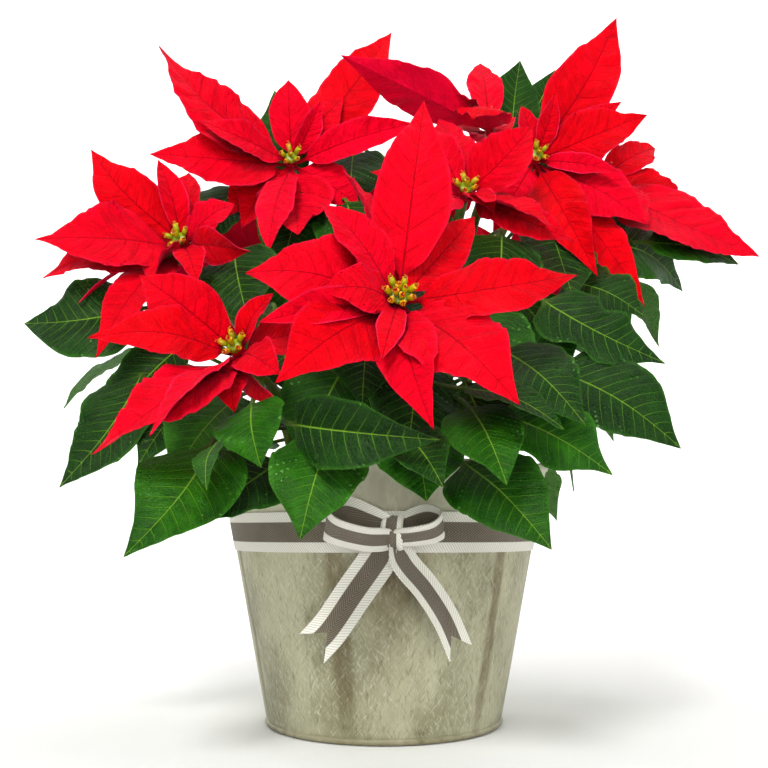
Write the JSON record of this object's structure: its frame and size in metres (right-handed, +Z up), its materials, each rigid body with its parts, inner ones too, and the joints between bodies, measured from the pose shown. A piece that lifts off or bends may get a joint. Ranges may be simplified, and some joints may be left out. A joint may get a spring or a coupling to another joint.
{
  "type": "potted poinsettia",
  "caption": "Flowering poinsettia with layered red bracts and broad green leaves, in a tapered round pot with a striped ribbon and bow.",
  "frame": {"origin": "middle of the pot's flat base, on the surface it stands on", "axes": "+Z up; -Y towards the viewer, which is the side with the bow; +X to the viewer's right"},
  "size_m": [0.4151, 0.3518, 0.43],
  "materials": {
    "weathered_pot": "weathered grey-beige paint with scratches and brown streaks",
    "dark_soil": "rough dark peat soil",
    "striped_ribbon": "woven grey-brown ribbon with cream edges",
    "red_bracts": "soft matt red bract",
    "green_leaves": "satin dark green leaf",
    "yellow_cups": "smooth yellow-green cup"
  },
  "bodies": {
    "root": {"pot": "weathered_pot", "soil": "dark_soil", "ribbon_band": "striped_ribbon", "ribbon_bow": "striped_ribbon", "stem_leaves_front": "green_leaves", "bracts_front": "red_bracts", "cyathia_front": "yellow_cups", "stem_leaves_low_left": "green_leaves", "bracts_low_left": "red_bracts", "cyathia_low_left": "yellow_cups", "stem_leaves_left": "green_leaves", "bracts_left": "red_bracts", "cyathia_left": "yellow_cups", "stem_leaves_top_left": "green_leaves", "bracts_top_left": "red_bracts", "cyathia_top_left": "yellow_cups", "stem_leaves_top_right": "green_leaves", "bracts_top_right": "red_bracts", "cyathia_top_right": "yellow_cups", "stem_leaves_middle": "green_leaves", "bracts_middle": "red_bracts", "cyathia_middle": "yellow_cups", "stem_leaves_right": "green_leaves", "bracts_right": "red_bracts", "cyathia_right": "yellow_cups", "stem_leaves_top": "green_leaves", "bracts_top": "red_bracts", "cyathia_top": "yellow_cups", "stem_leaves_back_left": "green_leaves", "bracts_back_left": "red_bracts", "cyathia_back_left": "yellow_cups", "stem_leaves_back": "green_leaves", "bracts_back": "red_bracts", "cyathia_back": "yellow_cups", "stem_leaves_back_right": "green_leaves", "bracts_back_right": "red_bracts", "cyathia_back_right": "yellow_cups"}
  },
  "joints": []
}
